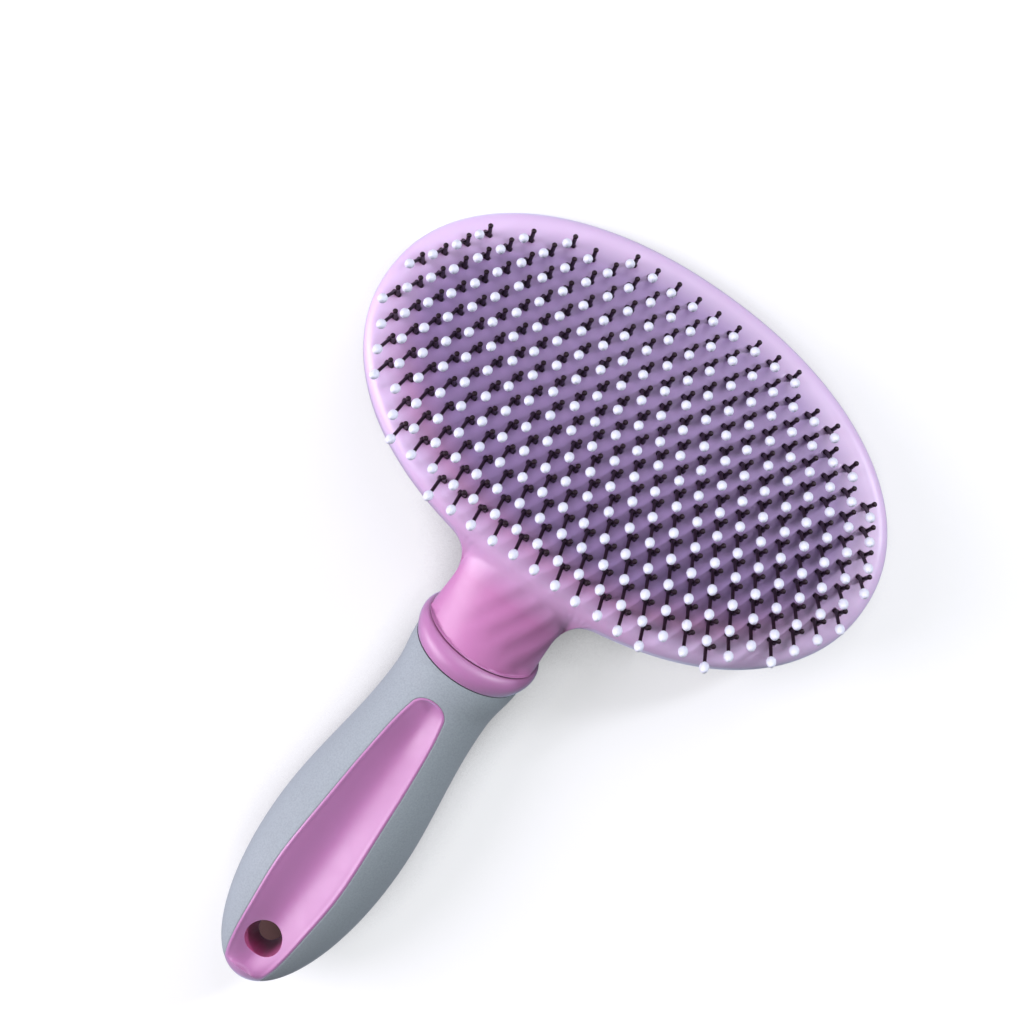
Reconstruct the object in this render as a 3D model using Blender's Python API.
"""Oval pin brush for pet grooming: a domed oval head full of two-legged wire pins,
a short flared neck with a slanted collar, and a rubber-sleeved handle with a
scooped window and a hang hole.

Sizes are in mm. Two frames are used. The handle frame is the world frame with y
measured from the head's centre: +Z up, the handle lies along Y with its end towards
-Y, and z = 0 is the table the brush rests on. The head frame (x, v, w) is tipped
toe-down by HEAD_TILT about X, with w = 0 at the foot of the domed front face, v away
from the handle and w out of the pins. The oval's long axis lies along X.
Names ending in _Y or _Z are handle-frame places, those in _V or _W head-frame ones.
"""

import math

import bmesh
import bpy
from mathutils import Vector
from mathutils.geometry import delaunay_2d_cdt

MM = 0.001

# ---------------------------------------------------------------- placement
HEAD_TILT = math.radians(12.0)
HEAD_Z = 17.6               # height of the head frame's origin above the table
HEAD_Y = 60.51              # world place of the head's centre
AXIS_Z = 14.0               # height of the handle's axis
GAP = 0.3                   # clearance between neighbouring pieces
JOINT_GAP = 0.5 * GAP       # each piece's share of the gap at a joint

# ---------------------------------------------------------------- head
HEAD_HALF_X = 71.5          # half length of the oval
HEAD_HALF_V = 44.6          # half width of the oval
HEAD_POWER = 2.12           # superellipse exponent of the oval
DOME = 4.0                  # rise of the front face
EDGE_R = 2.8                # roundover of the front edge
WALL = 2.2                  # wall of the front and back faces
RIM_WALL = 2.0              # wall around the edge
PART_W = -5.0               # parting plane of the two head mouldings
BACK_EDGE_W = -9.0          # foot of the back dome
BACK_DOME = 5.0             # rise of the back dome
BACK_R = 3.6                # roundover of the back edge
OUTSIDE_SLOPE = 2.5         # slope of both faces beyond the oval

# ---------------------------------------------------------------- pins
PITCH = 6.0                 # pin pitch along a row
ROW_STEP = 5.1              # row spacing, every second row offset half a pitch
SIDE_ROWS = 7               # rows on either side of the middle one
FIELD_HALF_X = 11.25        # half length of the pin field, in pitches
FIELD_HALF_V = 7.95         # half width of the pin field, in rows
FIELD_MID = -0.2            # offset added to a row's number to centre the field
SLOT_HALF_X, SLOT_HALF_V = 1.25, 0.575
LEG_R = 0.45                # wire radius
LEG_X = 0.5                 # the legs stand this far either side of the slot's centre
LONG_H, LONG_LEAN = 10.4, -5.4      # ball-tipped leg: height above the face, lean along v
SHORT_H, SHORT_LEAN = 7.0, 0.3      # plain leg
TIP_R = 1.15                # ball tip radius
TIP_WIDE, TIP_APEX = 1.2, 1.15      # ring and apex of the coarse ball, in tip radii
SHOULDER_HALF_X, SHOULDER_HALF_V = 0.9, 0.38
SHOULDER_RISE = 0.3         # height of the shoulder above the face
STRIP_TOP_W, STRIP_T = -2.4, 1.1    # carrier strip under the face
STRIP_HALF_V = 0.75
STRIP_OVERHANG = 2.4        # length of strip beyond the last pin

RETAINER_T = 2.0            # plate that backs the carrier strips
RETAINER_INSET, RETAINER_CHAMFER = 2.7, 0.6
RETAINER_TOP_W = STRIP_TOP_W - STRIP_T - GAP
RETAINER_LOW_W = RETAINER_TOP_W - RETAINER_T

# ---------------------------------------------------------------- neck and collar
NECK_HALF = 14.6            # half width of the neck
NECK_FLARE = 0.5            # extra half width at the collar
FLARE_V, FLARE_LEN = -50.0, 12.0    # start and length of the flare
NECK_END_V = -30.0          # end of the neck's strip inside the oval
NECK_BLEND = 7.5            # fillet between neck and oval
PART_FALL_V = -42.0         # the parting surface starts to fall here
ARCH_MARGIN = 0.4           # the neck's arch is this much wider than the neck
FRONT_FADE_V, BACK_FADE_V, FADE_LEN = -30.0, -24.0, 8.0   # head face fades to the neck's
FRONT_BLEND, BACK_BLEND = 4.0, 5.0          # fillets between head and neck faces
FRONT_CREST_SLOPE, BACK_CREST_SLOPE = 0.185, 1.05
COLLAR_Y = -59.6            # collar joint at the sides
COLLAR_SHEAR = 0.53         # slant of the collar: its top leans to the handle's end
BEAD_LEN, BEAD_RISE = 6.0, 1.3      # rounded bead of the collar
BEAD_POWER = 0.7            # fullness of the bead
BEAD_STEP = 0.5             # the bead's two end sections are this much smaller
BEAD_END_Y = COLLAR_Y - BEAD_LEN

# ---------------------------------------------------------------- handle
WAIST_Y, BULGE_Y, END_Y = -78.0, -122.0, -164.0
COLLAR_HALF_X, WAIST_HALF_X, BULGE_HALF_X = 15.0, 13.6, 17.6
COLLAR_HALF_Z, WAIST_HALF_Z, BULGE_HALF_Z = 12.6, 11.8, 14.0
END_HALF_X, END_HALF_Z = 0.6, 0.5   # smallest section, closing the rounded end
END_POWER = 2.05            # fullness of the rounded end
HANDLE_SIDES = 28
SLEEVE_T = 2.0              # rubber sleeve's wall
SLEEVE_Y = BEAD_END_Y - 0.5         # where the sleeve starts, behind the bead
BORE_LEAD = 3.0             # the sleeve's bore starts this far ahead of it
UNSHEAR_Y = -92.0           # the sections stand square to the axis from here on

WINDOW_TOP_Y, WINDOW_WIDE_Y, WINDOW_END_Y = -75.3, -135.0, -158.0
WINDOW_TOP_HALF, WINDOW_WIDE_HALF, WINDOW_END_HALF = 4.4, 9.2, 7.4
WINDOW_ROUND = 6.0          # length of the rounded top
WINDOW_POWER = 0.9          # curve of the long taper
WINDOW_OVERRUN = 6.0        # the cutter passes the handle's end by this much

SCOOP = 1.9                 # depth of the scoop below the window's edge
SCOOP_START_Y, SCOOP_END_Y = WINDOW_TOP_Y - 1.4, -161.0
SCOOP_MARGIN = 0.9          # rim left between the scoop and the window's edge
SCOOP_CLOSING = 12.0        # length over which the scoop closes at its end
SCOOP_DEEPENING = 16.0      # length over which the scoop deepens at its start
SCOOP_RISE = 2.5            # height of the cutter's centre above the window's edge
SCOOP_LEAST = 0.2           # least depth of the cutter

HOLE_Y, HOLE_R = -151.5, 4.75       # hang hole
HOLE_MARGIN = 0.9           # extra radius of the sleeve's opening
CUT_LOW_Z, CUT_TOP_Z = -4.0, 34.0   # reach of the vertical cutters

# ---------------------------------------------------------------- tang, screws, posts
TANG_HALF_X, TANG_HALF_Z = 9.0, 5.0     # tang that joins the head to the handle
TANG_START_Y, TANG_MID_Y, TANG_END_Y = -44.0, -60.0, -98.0
SOCKET_START_Y, SOCKET_END_Y = -42.8, TANG_END_Y - 0.6
SCREW_X, SCREW_Y = 6.0, -48.5       # the two neck screws stand at +-x
SCREW_TOP_Z = 23.4          # top of the full shank
SCREW_HEAD_R, SHANK_R, SCREW_TIP_R = 2.3, 1.05, 0.35
SCREW_SINK = 1.0            # depth of the screw's head in the back face
POST_R, POST_SIDES = 3.0, 12
POST_FOOT = 1.1             # height of a post's foot above the outer back face
POST_SPOTS = ((0.0, 26.0), (-38.0, 12.0), (38.0, 12.0), (-38.0, -16.0), (38.0, -16.0))  # x, v

# ---------------------------------------------------------------- moulding outlines
LOOP_POINTS = 64
FOCUS_V = -20.0             # the outlines are traced from this point on the v axis
FOCUS_CROWDING = 0.42       # how strongly the points crowd towards the neck
FRONT_RIMS = ((0.0, 0.0), (0.7, 0.5), (2.6, 2.2))   # inset from the side, from the joint
FRONT_LIP_INSET, FRONT_LIP_JOINT = 0.9, 0.2
BACK_RIMS = (0.0, 0.9, 3.0)         # insets from the side
BACK_JOINT_INSET = 0.8
BACK_JOINT_SHARE = 0.6      # further inset from the joint, per inset from the side
BACK_FLOOR_INSETS = (RIM_WALL, 6.0, 13.0, 21.0)


# ------------------------------------------------------------------ materials
def material(name, colour, roughness, metallic=0.0):
    mat = bpy.data.materials.get(name) or bpy.data.materials.new(name)
    mat.use_nodes = True
    mat.diffuse_color = colour
    shader = mat.node_tree.nodes["Principled BSDF"]
    shader.inputs["Base Color"].default_value = colour
    shader.inputs["Roughness"].default_value = roughness
    shader.inputs["Metallic"].default_value = metallic
    return mat


# ------------------------------------------------------------------ frames
COS, SIN = math.cos(HEAD_TILT), math.sin(HEAD_TILT)


def head_point(x, v, w):
    """Head frame, in mm, to world, in metres."""
    return Vector((x, HEAD_Y + v * COS + w * SIN, HEAD_Z - v * SIN + w * COS)) * MM


def world_point(x, y, z):
    """Handle frame, in mm, to world, in metres."""
    return Vector((x, HEAD_Y + y, z)) * MM


def head_frame(y, z):
    """Handle frame to (v, w) in the head frame, in mm."""
    return y * COS - (z - HEAD_Z) * SIN, y * SIN + (z - HEAD_Z) * COS


# Centre, top and bottom of the slanted collar joint
JOINT_V, JOINT_W = head_frame(COLLAR_Y, AXIS_Z)
JOINT_TOP_V, JOINT_TOP_W = head_frame(
    COLLAR_Y - COLLAR_SHEAR * COLLAR_HALF_Z, AXIS_Z + COLLAR_HALF_Z)
JOINT_LOW_V, JOINT_LOW_W = head_frame(
    COLLAR_Y + COLLAR_SHEAR * COLLAR_HALF_Z, AXIS_Z - COLLAR_HALF_Z)
JOINT_RUN, JOINT_RISE = JOINT_V - JOINT_TOP_V, JOINT_TOP_W - JOINT_W


# ------------------------------------------------------------------ blending
def smooth_step(share):
    share = min(max(share, 0.0), 1.0)
    return share * share * (3.0 - 2.0 * share)


def smooth_min(first, second, width):
    overlap = max(width - abs(first - second), 0.0) / width
    return min(first, second) - overlap * overlap * width * 0.25


def smooth_max(first, second, width):
    return -smooth_min(-first, -second, width)


def cosine_blend(start, end, share):
    share = min(max(share, 0.0), 1.0)
    return start + (end - start) * (1.0 - math.cos(math.pi * share)) / 2.0


# ------------------------------------------------------------------ objects
def clear_scene():
    for obj in list(bpy.data.objects):
        bpy.data.objects.remove(obj, do_unlink=True)


def finish_mesh(name, bm, mat, smooth_angle=35.0):
    bmesh.ops.remove_doubles(bm, verts=bm.verts, dist=1e-7)
    bmesh.ops.recalc_face_normals(bm, faces=bm.faces)
    mesh = bpy.data.meshes.new(name)
    bm.to_mesh(mesh)
    bm.free()
    obj = bpy.data.objects.new(name, mesh)
    bpy.context.scene.collection.objects.link(obj)
    mesh.materials.append(mat)
    mesh.shade_smooth()
    mesh.set_sharp_from_angle(angle=math.radians(smooth_angle))
    return obj


def loft(name, rings, mat, smooth_angle=35.0):
    """A solid skinned over closed rings of equal length, with a face on each end ring."""
    bm = bmesh.new()
    made = [[bm.verts.new(point) for point in ring] for ring in rings]
    for lower, upper in zip(made, made[1:]):
        count = len(lower)
        for i in range(count):
            j = (i + 1) % count
            bm.faces.new((lower[i], lower[j], upper[j], upper[i]))
    bm.faces.new(list(reversed(made[0])))
    bm.faces.new(made[-1])
    return finish_mesh(name, bm, mat, smooth_angle)


def turned(name, x, y, profile, mat, count=14):
    """A solid turned about a vertical axis, from (radius, z) pairs."""
    turns = [2 * math.pi * i / count for i in range(count)]
    return loft(name, [
        [world_point(x + radius * math.cos(turn), y + radius * math.sin(turn), z)
         for turn in turns]
        for radius, z in profile
    ], mat, 30.0)


def hide_cutter(obj):
    obj.hide_render = True
    obj.display_type = "WIRE"
    return obj


def boolean(obj, cutter, operation="DIFFERENCE"):
    mod = obj.modifiers.new(operation.title() + "_" + cutter.name, "BOOLEAN")
    mod.operation = operation
    mod.solver = "EXACT"
    mod.object = cutter


# ------------------------------------------------------------------ mesh skins
def ring_faces(bm, first, second):
    count = len(first)
    for i in range(count):
        j = (i + 1) % count
        bm.faces.new((first[i], second[i], second[j], first[j]))


def head_ring(bm, points, height):
    """Vertices over (x, v) points, at the w given by a height function."""
    return [bm.verts.new(head_point(x, v, height(x, v))) for x, v in points]


def triangulate(loops, holes, free):
    """Triangles inside closed loops, through the free points and open over the
    four-cornered holes. Points are numbered loops first, then holes, then free."""
    coords, edges = [], []
    for points in loops + holes:
        first, count = len(coords), len(points)
        coords += [Vector(point) for point in points]
        edges += [(first + i, first + (i + 1) % count) for i in range(count)]
    holes_end = len(coords)
    holes_start = holes_end - 4 * len(holes)
    coords += [Vector(point) for point in free]
    faces = delaunay_2d_cdt(coords, edges, [], 1, 1e-7)[2]

    def in_hole(face):
        owners = {
            (i - holes_start) // 4 if holes_start <= i < holes_end else None for i in face
        }
        return len(owners) == 1 and None not in owners

    return coords, [face for face in faces if not in_hole(face)]


def skin(bm, loops, holes, free, height, flip=False):
    """A triangulated skin that follows a height function. Returns the loops' vertices
    in one list and each hole's four vertices."""
    coords, faces = triangulate(loops, holes, free)
    verts = [bm.verts.new(head_point(p.x, p.y, height(p.x, p.y))) for p in coords]
    for face in faces:
        bm.faces.new([verts[i] for i in (reversed(face) if flip else face)])
    first = sum(len(points) for points in loops)
    corners = [verts[first + 4 * i:first + 4 * i + 4] for i in range(len(holes))]
    return verts[:first], corners


def cap(bm, points, ring, free, height, flip=False):
    """Fill an existing ring of vertices with a skin that follows a height function."""
    faces = triangulate([points], [], free)[1]
    verts = ring + head_ring(bm, free, height)
    for face in faces:
        bm.faces.new([verts[i] for i in (reversed(face) if flip else face)])


def rectangle(x, v, half_x, half_v):
    return [(x - half_x, v - half_v), (x + half_x, v - half_v),
            (x + half_x, v + half_v), (x - half_x, v + half_v)]


# ------------------------------------------------------------------ head outline
def oval_distance(x, v):
    """Roughly the signed distance from the head's oval, negative inside."""
    across, along = abs(x / HEAD_HALF_X), abs(v / HEAD_HALF_V)
    level = (across ** HEAD_POWER + along ** HEAD_POWER) ** (1.0 / HEAD_POWER)
    if level < 1e-6:
        return -HEAD_HALF_V
    slope_x = across ** (HEAD_POWER - 1.0) / HEAD_HALF_X
    slope_v = along ** (HEAD_POWER - 1.0) / HEAD_HALF_V
    slope = math.hypot(slope_x, slope_v) / level ** (HEAD_POWER - 1.0)
    return (level - 1.0) / slope


def neck_half(v):
    """Half width of the neck, flared towards the collar."""
    return NECK_HALF + NECK_FLARE * smooth_step((FLARE_V - v) / FLARE_LEN)


def shape_distance(x, v):
    """Roughly the signed distance from the outline of oval and neck together."""
    strip = max(abs(x) - neck_half(v), v - NECK_END_V)
    return smooth_min(oval_distance(x, v), strip, NECK_BLEND)


def joint_w(v):
    """The slanted joint's plane in the head frame."""
    return JOINT_W + (JOINT_V - v) * JOINT_RISE / JOINT_RUN


def front_joint_v(x):
    """Where the slanted joint ends the front moulding, seen along w."""
    return JOINT_V - JOINT_RUN * math.sqrt(max(0.0, 1.0 - (x / (NECK_HALF + 1.0)) ** 2))


def back_joint_v(x):
    """Where the back moulding ends: straight across."""
    return JOINT_V


def in_moulding(x, v, inset, joint_line, joint_inset):
    return shape_distance(x, v) <= -inset and v > joint_line(x) + joint_inset


def trace(is_inside):
    """A region's outline as seen from the focus, counter-clockwise. The directions
    crowd towards the neck, where the shape turns quickly."""
    points = []
    for i in range(LOOP_POINTS):
        turn = 2.0 * math.pi * ((i + 0.5) / LOOP_POINTS)
        angle = -0.5 * math.pi + turn - FOCUS_CROWDING * math.sin(turn)
        step_x, step_v = math.cos(angle), math.sin(angle)
        near, far = 0.0, 120.0
        for _ in range(40):
            middle = 0.5 * (near + far)
            if is_inside(step_x * middle, FOCUS_V + step_v * middle):
                near = middle
            else:
                far = middle
        points.append((step_x * near, FOCUS_V + step_v * near))
    return points


def moulding_loop(inset, joint_line, joint_inset):
    """The head-and-neck outline, moved in."""
    return trace(lambda x, v: in_moulding(x, v, inset, joint_line, joint_inset))


def oval_loop(inset):
    """The oval's outline alone, moved in."""
    return trace(lambda x, v: oval_distance(x, v) < -inset)


# ------------------------------------------------------------------ head surfaces
def part_w(v):
    """The parting surface: flat under the oval, then falling along the neck to the axis."""
    fall = max(0.0, (PART_FALL_V - v) / (PART_FALL_V - JOINT_V))
    return PART_W + (JOINT_W - PART_W) * fall


def table_w(v):
    """The table's plane in the head frame."""
    return (v * SIN - HEAD_Z) / COS


def dome_share(x, v):
    return 1.0 - (x / HEAD_HALF_X) ** 2 - (v / HEAD_HALF_V) ** 2


def dome_w(x, v):
    return DOME * dome_share(x, v)


def round_drop(depth, radius):
    """Drop of a quarter-round edge, this far in from the outline."""
    if depth >= radius:
        return 0.0
    share = 1.0 - depth / radius
    return radius * (1.0 - math.sqrt(1.0 - share * share))


def neck_w(x, v, crest):
    """Elliptical arch of the neck, from the parting surface to its crest."""
    arch = math.sqrt(max(0.0, 1.0 - (x / (neck_half(v) + ARCH_MARGIN)) ** 2))
    return part_w(v) + (crest - part_w(v)) * arch


def front_w(x, v):
    """Outer front face of the head and the upper half of the neck."""
    outside = oval_distance(x, v)
    if outside > 0.0:
        head = -EDGE_R - OUTSIDE_SLOPE * outside
    else:
        head = dome_w(x, v) - round_drop(-outside, EDGE_R)
    neck = neck_w(x, v, JOINT_TOP_W + (v - JOINT_TOP_V) * FRONT_CREST_SLOPE)
    fade = smooth_step((FRONT_FADE_V - v) / FADE_LEN)
    return head * (1.0 - fade) + smooth_max(head, neck, FRONT_BLEND) * fade


def back_w(x, v):
    """Outer back face of the head and the lower half of the neck, cut off flat at the table."""
    outside = oval_distance(x, v)
    if outside > 0.0:
        head = BACK_EDGE_W + BACK_R + OUTSIDE_SLOPE * outside
    else:
        head = BACK_EDGE_W - BACK_DOME * dome_share(x, v) + round_drop(-outside, BACK_R)
    neck = neck_w(x, v, JOINT_LOW_W + (v - JOINT_LOW_V) * BACK_CREST_SLOPE)
    fade = smooth_step((BACK_FADE_V - v) / FADE_LEN)
    low = head * (1.0 - fade) + smooth_min(head, neck, BACK_BLEND) * fade
    return max(low, table_w(v))


def back_height(x, y):
    """Height above the table of the back face at this plan position."""
    v = y
    for _ in range(40):
        v = (y - back_w(x, v) * SIN) / COS
    return HEAD_Z - v * SIN + back_w(x, v) * COS


# ------------------------------------------------------------------ pins
def pin_rows():
    """Each row's pins as (x, v), from the toe to the neck. A row is as long as the
    field's oval allows."""
    rows = []
    for row in range(-SIDE_ROWS, SIDE_ROWS + 1):
        level = 1.0 - ((row + FIELD_MID) / FIELD_HALF_V) ** 2
        reach = FIELD_HALF_X * math.sqrt(level)
        start = 0.0 if row % 2 else 0.5
        steps = [start + i for i in range(math.floor(reach - start) + 1)]
        spots = sorted({sign * step for step in steps for sign in (1.0, -1.0)})
        rows.append([(spot * PITCH, -row * ROW_STEP) for spot in spots])
    return rows


def face_frame(x, v):
    """Point on the front face, its outward normal and the two directions along the
    face, towards +x and +v, in the head frame."""
    normal = Vector((
        2 * DOME * x / HEAD_HALF_X**2, 2 * DOME * v / HEAD_HALF_V**2, 1.0)).normalized()
    along = Vector((1.0, 0.0, 0.0))
    along = (along - normal * along.dot(normal)).normalized()
    return Vector((x, v, dome_w(x, v))), normal, along, normal.cross(along)


def wire_ring(bm, centre, along, across, radius, start):
    """Three points of a wire's section."""
    made = []
    for i in range(3):
        turn = math.radians(start + 120.0 * i)
        point = centre + along * (radius * math.cos(turn)) + across * (radius * math.sin(turn))
        made.append(bm.verts.new(head_point(*point)))
    return made


def add_long_leg(bm, root, base, normal, across):
    """Leaning leg with a coarse ball on its tip."""
    tip = base + normal * LONG_H + across * LONG_LEAN
    run = (tip - base).normalized()
    side = run.cross(Vector((1.0, 0.0, 0.0))).normalized()
    out = side.cross(run).normalized()
    collar = wire_ring(bm, tip - run * TIP_R, out, side, LEG_R, 240.0)
    wide = wire_ring(bm, tip, out, side, TIP_R * TIP_WIDE, 240.0)
    apex = bm.verts.new(head_point(*(tip + run * TIP_R * TIP_APEX)))
    ring_faces(bm, root, collar)
    ring_faces(bm, collar, wide)
    for i in range(3):
        bm.faces.new((wide[i], wide[(i + 1) % 3], apex))


def add_short_leg(bm, root, base, normal, along, across):
    """Plain leg with a flat end."""
    tip = base + normal * SHORT_H + across * SHORT_LEAN
    end = wire_ring(bm, tip, along, across, LEG_R, -60.0)
    ring_faces(bm, root, end)
    bm.faces.new(end)


def add_pin(bm, x, v, foot):
    """A shoulder that rises from its foot on the strip through the slot, and splits
    into the two legs just above the face."""
    spot, normal, along, across = face_frame(x, v)
    top = spot.z + SHOULDER_RISE
    corners = rectangle(x, v, SHOULDER_HALF_X, SHOULDER_HALF_V)
    shoulder = head_ring(bm, corners, lambda _x, _v: top)
    fork = bm.verts.new(head_point(x, v, top))
    ring_faces(bm, foot, shoulder)
    bm.faces.new((shoulder[0], shoulder[1], fork))
    bm.faces.new((shoulder[2], shoulder[3], fork))
    add_long_leg(bm, (shoulder[0], fork, shoulder[3]), spot - along * LEG_X, normal, across)
    add_short_leg(
        bm, (shoulder[1], shoulder[2], fork), spot + along * LEG_X, normal, along, across)


def build_pin_row(index, spots, mat):
    """One row of two-legged pins on its carrier strip."""
    bm = bmesh.new()
    reach, v = spots[-1]
    strip = rectangle(0.0, v, reach + STRIP_OVERHANG, STRIP_HALF_V)
    feet = [rectangle(x, v, SHOULDER_HALF_X, SHOULDER_HALF_V) for x, v in spots]
    top, foot_verts = skin(bm, [strip], feet, [], lambda _x, _v: STRIP_TOP_W)
    low = head_ring(bm, strip, lambda _x, _v: STRIP_TOP_W - STRIP_T)
    ring_faces(bm, low, top)
    bm.faces.new(list(reversed(low)))
    for (x, v), foot in zip(spots, foot_verts):
        add_pin(bm, x, v, foot)
    finish_mesh("pin_row_%02d" % index, bm, mat, 50.0)


# ------------------------------------------------------------------ head mouldings
def build_front_shell(rows, mat, cutters):
    """Domed front moulding with a slot for each pin, and the upper half of the neck."""

    def lip_w(x, v):
        """Underside of the moulding: the parting surface, then the slanted collar joint."""
        return max(part_w(v), joint_w(v)) + JOINT_GAP

    def outer_w(x, v):
        return max(front_w(x, v), lip_w(x, v) + 0.35)

    def inner_w(x, v):
        return max(front_w(x, v) - WALL, part_w(v) + 0.8)

    rims = [
        moulding_loop(inset, front_joint_v, JOINT_GAP + joint_inset)
        for inset, joint_inset in FRONT_RIMS
    ]
    lip = moulding_loop(FRONT_LIP_INSET, front_joint_v, JOINT_RUN + FRONT_LIP_JOINT)
    cavity = oval_loop(RIM_WALL)
    slots = [rectangle(x, v, SLOT_HALF_X, SLOT_HALF_V) for row in rows for x, v in row]
    neck_points = [(x, v) for v in (-47.0, -52.5, -58.0) for x in (-8.5, -3.0, 3.0, 8.5)]

    bm = bmesh.new()
    outer, outer_slots = skin(bm, rims, slots, neck_points, outer_w)
    inner, inner_slots = skin(bm, [cavity], slots, [], inner_w, flip=True)
    for outer_slot, inner_slot in zip(outer_slots, inner_slots):
        ring_faces(bm, outer_slot, inner_slot)
    lips = [head_ring(bm, loop, lip_w) for loop in (rims[0], lip, cavity)]
    edge = [outer[:LOOP_POINTS]] + lips + [inner]
    for first, second in zip(edge, edge[1:]):
        ring_faces(bm, first, second)
    obj = finish_mesh("front_shell", bm, mat, 40.0)
    for cutter in cutters:
        boolean(obj, cutter)


def back_shell(mat):
    """Shallow dome with a flat land to rest on, hollowed under the oval."""

    def top_w(x, v):
        return part_w(v) - JOINT_GAP

    def low_w(x, v):
        return min(max(back_w(x, v), joint_w(v) + GAP), top_w(x, v) - 0.3)

    def floor_w(x, v):
        return min(back_w(x, v) + WALL, top_w(x, v) - 0.4)

    bm = bmesh.new()
    loops = [
        moulding_loop(inset, back_joint_v, BACK_JOINT_INSET + BACK_JOINT_SHARE * inset)
        for inset in BACK_RIMS
    ]
    rings = [head_ring(bm, loop, low_w) for loop in loops]
    for outer, inner in zip(rings, rings[1:]):
        ring_faces(bm, inner, outer)

    # Points that carry the back face's curve: a staggered grid, closer along the neck
    grid = [(8.0 * i + 4.0 * (j % 2), 7.0 * j) for i in range(-9, 10) for j in range(-4, 7)]
    neck_vs = (-36.0, -39.5, -43.0, -46.0, JOINT_LOW_V, -52.0)
    grid += [(3.6 * i, v) for i in range(-3, 4) for v in neck_vs]
    free = [
        (x, v) for x, v in grid
        if in_moulding(x, v, 4.6, back_joint_v, BACK_JOINT_INSET + 3.5)
    ]
    cap(bm, loops[-1], rings[-1], free, low_w, flip=True)

    floor_loops = [oval_loop(inset) for inset in BACK_FLOOR_INSETS]
    floor_rings = [head_ring(bm, loop, floor_w) for loop in floor_loops]
    for outer, inner in zip(floor_rings, floor_rings[1:]):
        ring_faces(bm, outer, inner)
    cap(bm, floor_loops[-1], floor_rings[-1], [], floor_w)

    lip_out = head_ring(bm, loops[0], top_w)
    lip_in = head_ring(bm, floor_loops[0], top_w)
    ring_faces(bm, lip_out, rings[0])
    ring_faces(bm, lip_in, lip_out)
    ring_faces(bm, floor_rings[0], lip_in)
    return finish_mesh("back_cover", bm, mat, 40.0)


def post(index, x, v, mat):
    """Round post from the back cover's floor to just short of the retainer."""
    turns = [2.0 * math.pi * i / POST_SIDES for i in range(POST_SIDES)]
    return hide_cutter(loft("post_%d" % index, [
        [head_point(x + POST_R * math.cos(turn), v + POST_R * math.sin(turn), w)
         for turn in turns]
        for w in (back_w(x, v) + POST_FOOT, RETAINER_LOW_W - GAP)
    ], mat))


def build_back_cover(mat, tang, screw_cutters):
    """Back moulding with five posts that hold the retainer and the tang that enters
    the handle."""
    obj = back_shell(mat)
    for index, (x, v) in enumerate(POST_SPOTS, 1):
        boolean(obj, post(index, x, v, mat), "UNION")
    boolean(obj, tang, "UNION")
    for cutter in screw_cutters:
        boolean(obj, cutter)


def build_retainer(mat):
    """Flat plate behind the carrier strips. It presses them against the front moulding."""

    def ring(inset, w):
        points = []
        for i in range(56):
            turn = 2.0 * math.pi * i / 56
            x, v = math.cos(turn), math.sin(turn)
            reach = (abs(x) ** HEAD_POWER + abs(v) ** HEAD_POWER) ** (-1.0 / HEAD_POWER)
            points.append(head_point(
                (HEAD_HALF_X - inset) * reach * x, (HEAD_HALF_V - inset) * reach * v, w))
        return points

    loft("pin_retainer", [
        ring(RETAINER_INSET + RETAINER_CHAMFER, RETAINER_LOW_W),
        ring(RETAINER_INSET, RETAINER_LOW_W + RETAINER_CHAMFER),
        ring(RETAINER_INSET, RETAINER_TOP_W),
    ], mat)


# ------------------------------------------------------------------ handle shape
def end_share(share):
    """Size of the rounded end relative to the bulge, at this share of its length."""
    return (1.0 - share**END_POWER) ** (1.0 / END_POWER)


def half_size(y, collar, waist, bulge):
    """Half width or half height of the handle at a station."""
    if y > WAIST_Y:
        return cosine_blend(collar, waist, (BEAD_END_Y - y) / (BEAD_END_Y - WAIST_Y))
    if y > BULGE_Y:
        return cosine_blend(waist, bulge, (WAIST_Y - y) / (WAIST_Y - BULGE_Y))
    return bulge * end_share(min((BULGE_Y - y) / (BULGE_Y - END_Y), 1.0))


def half_width(y):
    return half_size(y, COLLAR_HALF_X, WAIST_HALF_X, BULGE_HALF_X)


def half_height(y):
    return half_size(y, COLLAR_HALF_Z, WAIST_HALF_Z, BULGE_HALF_Z)


def shear(y):
    """Slant of the section at a station, fading from the collar's to none."""
    return COLLAR_SHEAR * (1.0 - smooth_step((BEAD_END_Y - y) / (BEAD_END_Y - UNSHEAR_Y)))


def section(y, half_x, half_z, slant, count=HANDLE_SIDES):
    """Elliptical ring about the handle's axis."""
    made = []
    for i in range(count):
        turn = 2.0 * math.pi * i / count
        x, z = half_x * math.cos(turn), half_z * math.sin(turn)
        made.append(world_point(x, y - z * slant, AXIS_Z + z))
    return made


def handle_sections(inset):
    """Sections from the sleeve's start to the rounded end. Bodies with different insets
    have their stations in step, so the gap between them stays even."""
    made = []
    straight, closing = 9, 8
    for i in range(straight):
        y = SLEEVE_Y + (BULGE_Y - SLEEVE_Y) * i / straight
        made.append(section(y, half_width(y) - inset, half_height(y) - inset, shear(y)))
    for i in range(closing + 1):
        share = math.sin(0.5 * math.pi * i / closing)
        full = end_share(share)
        y = BULGE_Y + (END_Y + inset - BULGE_Y) * share
        half_x = max((BULGE_HALF_X - inset) * full, END_HALF_X)
        half_z = max((BULGE_HALF_Z - inset) * full, END_HALF_Z)
        made.append(section(y, half_x, half_z, 0.0))
    return made


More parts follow.
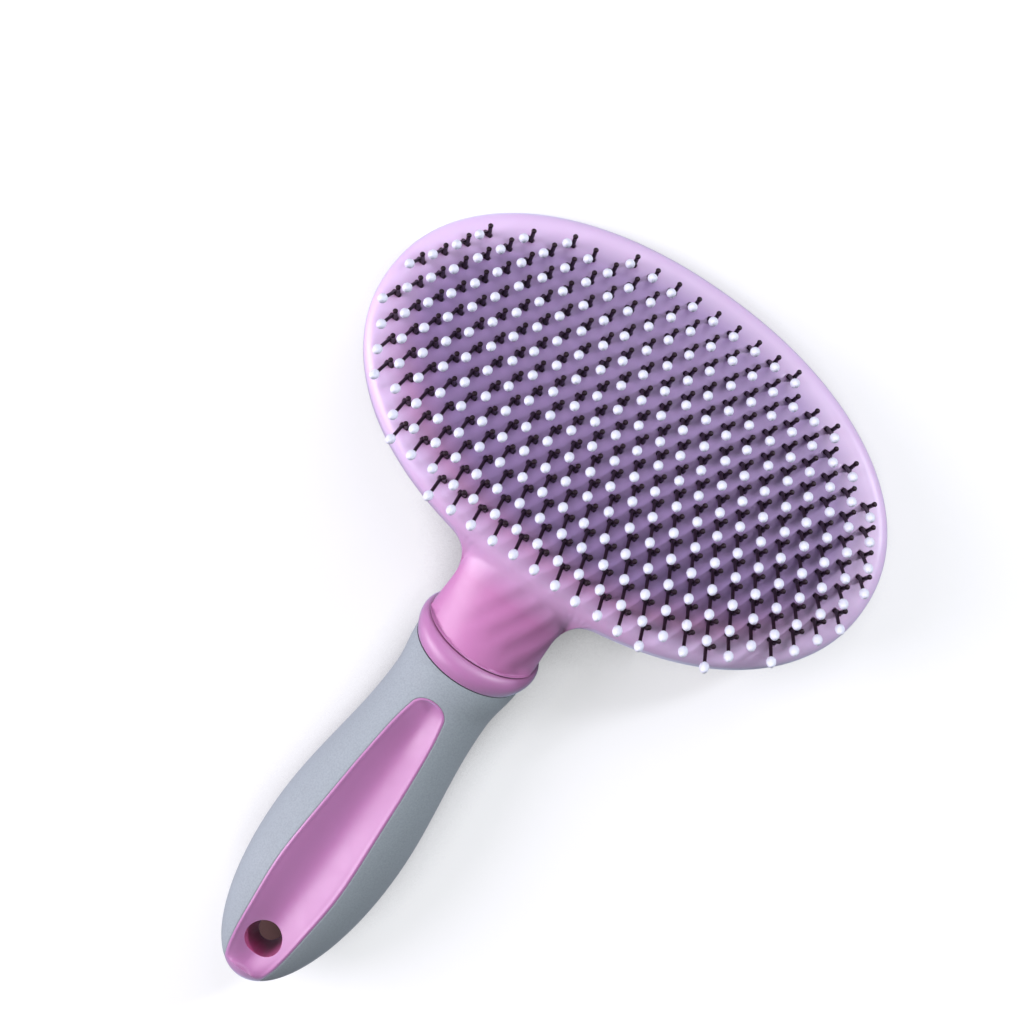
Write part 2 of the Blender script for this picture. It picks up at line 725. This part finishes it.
# ------------------------------------------------------------------ handle cutters
def window_half(y):
    """Half width of the window: a rounded top, a long taper out, then narrower again."""
    if y < WINDOW_WIDE_Y:
        share = (WINDOW_WIDE_Y - y) / (WINDOW_WIDE_Y - WINDOW_END_Y)
        return cosine_blend(WINDOW_WIDE_HALF, WINDOW_END_HALF, share)
    run = WINDOW_TOP_Y - y
    share = min(1.0, run / (WINDOW_TOP_Y - WINDOW_WIDE_Y)) ** WINDOW_POWER
    taper = WINDOW_TOP_HALF + (WINDOW_WIDE_HALF - WINDOW_TOP_HALF) * share
    rounding = min(1.0, run / WINDOW_ROUND)
    return taper * math.sqrt(1.0 - (1.0 - rounding) ** 2)


def window_prism(name, inset, low, mat):
    """The window's outline in plan, moved in by the inset and carried up."""
    steps = 16
    right = []
    for i in range(steps + 1):
        y = WINDOW_TOP_Y - (WINDOW_TOP_Y - END_Y + WINDOW_OVERRUN) * (i / steps) ** 2.0
        right.append(Vector((window_half(y), y)))
    plan = [Vector((-point.x, point.y)) for point in reversed(right[1:])] + right
    moved = []
    for i, point in enumerate(plan):
        before, after = plan[max(i - 1, 0)], plan[min(i + 1, len(plan) - 1)]
        run = (after - before).normalized()
        moved.append(point - Vector((-run.y, run.x)) * inset)
    rings = [[world_point(point.x, point.y, z) for point in moved] for z in (low, CUT_TOP_Z)]
    return hide_cutter(loft(name, rings, mat))


def scoop_cutter(mat):
    """The long hollow of the window: elliptical sections that follow the handle's crown."""
    rings = []
    steps, count = 14, 16
    for i in range(steps + 1):
        share = 0.5 * (1.0 - math.cos(math.pi * (0.06 + 0.88 * i / steps)))
        y = SCOOP_START_Y + (SCOOP_END_Y - SCOOP_START_Y) * share
        ending = max(SCOOP_END_Y + SCOOP_CLOSING - y, 0.0) / SCOOP_CLOSING
        closing = math.sqrt(1.0 - ending ** 2)
        reach = (window_half(y) - SCOOP_MARGIN) * closing
        edge = AXIS_Z + half_height(y) * math.sqrt(1.0 - (reach / half_width(y)) ** 2)
        depth = SCOOP * smooth_step((SCOOP_START_Y - y) / SCOOP_DEEPENING) * closing
        tall = SCOOP_RISE + max(depth, SCOOP_LEAST)
        wide = reach / math.sqrt(1.0 - (SCOOP_RISE / tall) ** 2)
        turns = [2 * math.pi * k / count for k in range(count)]
        rings.append([
            world_point(wide * math.cos(turn), y, edge + SCOOP_RISE + tall * math.sin(turn))
            for turn in turns
        ])
    return hide_cutter(loft("scoop_cutter", rings, mat))


def hole_cutter(name, radius, top, mat):
    profile = ((radius, CUT_LOW_Z), (radius, top))
    return hide_cutter(turned(name, 0.0, HOLE_Y, profile, mat, HANDLE_SIDES))


def tang_body(name, grow, start, end, mat):
    """Oval bar on the handle's axis."""
    return hide_cutter(loft(name, [
        section(y, TANG_HALF_X + grow, TANG_HALF_Z + grow, 0.0, 20)
        for y in (start, TANG_MID_Y, end)
    ], mat))


# ------------------------------------------------------------------ handle pieces
def bead_sections():
    """The collar's bead, slanted with the joint."""
    made = []
    for i in range(6):
        share = i / 5.0
        if i in (0, 5):
            rise = -BEAD_STEP
        else:
            rise = BEAD_RISE * math.sin(math.pi * share) ** BEAD_POWER
        y = COLLAR_Y - BEAD_LEN * share - JOINT_GAP
        made.append(section(y, COLLAR_HALF_X + rise, COLLAR_HALF_Z + rise, COLLAR_SHEAR))
    return made


def build_handle_core(mat, socket):
    """Rigid core of the handle with the collar's bead, the scooped window rib and the
    hang hole."""
    rings = bead_sections() + handle_sections(SLEEVE_T + GAP)
    obj = loft("handle_core", rings, mat, 40.0)
    rib = hide_cutter(loft("window_rib", handle_sections(0.0), mat))
    boolean(rib, window_prism("rib_prism", GAP, AXIS_Z + GAP, mat), "INTERSECT")
    boolean(obj, rib, "UNION")
    boolean(obj, scoop_cutter(mat))
    boolean(obj, hole_cutter("hole_cutter", HOLE_R, CUT_TOP_Z, mat))
    boolean(obj, socket)


def build_grip_sleeve(mat, cutter_mat):
    """Soft rubber sleeve around the core, open over the window and under the hang hole."""
    obj = loft("grip_sleeve", handle_sections(0.0), mat, 40.0)
    mouth = section(
        SLEEVE_Y + BORE_LEAD, COLLAR_HALF_X - SLEEVE_T, COLLAR_HALF_Z - SLEEVE_T, COLLAR_SHEAR)
    bore = loft("sleeve_bore", [mouth] + handle_sections(SLEEVE_T), mat)
    boolean(obj, hide_cutter(bore))
    boolean(obj, window_prism("window_prism", 0.0, AXIS_Z, cutter_mat))
    boolean(obj, hole_cutter(
        "hole_wide_cutter", HOLE_R + HOLE_MARGIN, AXIS_Z + 1.0, cutter_mat))


# ------------------------------------------------------------------ screws
def build_screw(index, x, mat):
    """Countersunk neck screw. It holds the back moulding to the front one."""
    low = back_height(x, SCREW_Y) + SCREW_SINK
    profile = (
        (SCREW_HEAD_R, low),
        (SCREW_HEAD_R, low + 0.5),
        (SHANK_R, low + 1.7),
        (SHANK_R, SCREW_TOP_Z),
        (SCREW_TIP_R, SCREW_TOP_Z + 0.7),
    )
    turned("neck_screw_%d" % index, x, SCREW_Y, profile, mat)


def screw_cutter(index, x, mat):
    """The screw's clearance, open through the back face."""
    low = back_height(x, SCREW_Y) + SCREW_SINK
    profile = (
        (SCREW_HEAD_R + GAP, low - 6.0),
        (SCREW_HEAD_R + GAP, low + 0.7),
        (SHANK_R + GAP, low + 1.9),
        (SHANK_R + GAP, SCREW_TOP_Z + 1.3),
    )
    return hide_cutter(turned("screw_cutter_%d" % index, x, SCREW_Y, profile, mat))


def main():
    clear_scene()
    pink = material("pink_plastic", colour=(0.74, 0.42, 0.62, 1.0), roughness=0.38)
    grey = material("grey_rubber", colour=(0.36, 0.38, 0.42, 1.0), roughness=0.55)
    wire = material("plum_wire", colour=(0.035, 0.018, 0.030, 1.0), roughness=0.35)
    natural = material("natural_plastic", colour=(0.70, 0.68, 0.66, 1.0), roughness=0.5)
    steel = material(
        "zinc_steel", colour=(0.55, 0.55, 0.56, 1.0), roughness=0.3, metallic=1.0)

    tang = tang_body("tang_bar", 0.0, TANG_START_Y, TANG_END_Y, pink)
    socket = tang_body("tang_clearance", GAP, SOCKET_START_Y, SOCKET_END_Y, pink)
    screws = list(enumerate((-SCREW_X, SCREW_X), 1))
    screw_cutters = [screw_cutter(index, x, steel) for index, x in screws]

    rows = pin_rows()
    build_front_shell(rows, pink, [socket] + screw_cutters)
    build_retainer(natural)
    for index, spots in enumerate(rows, 1):
        build_pin_row(index, spots, wire)
    build_back_cover(pink, tang, screw_cutters)
    for index, x in screws:
        build_screw(index, x, steel)
    build_handle_core(pink, socket)
    build_grip_sleeve(grey, pink)


main()
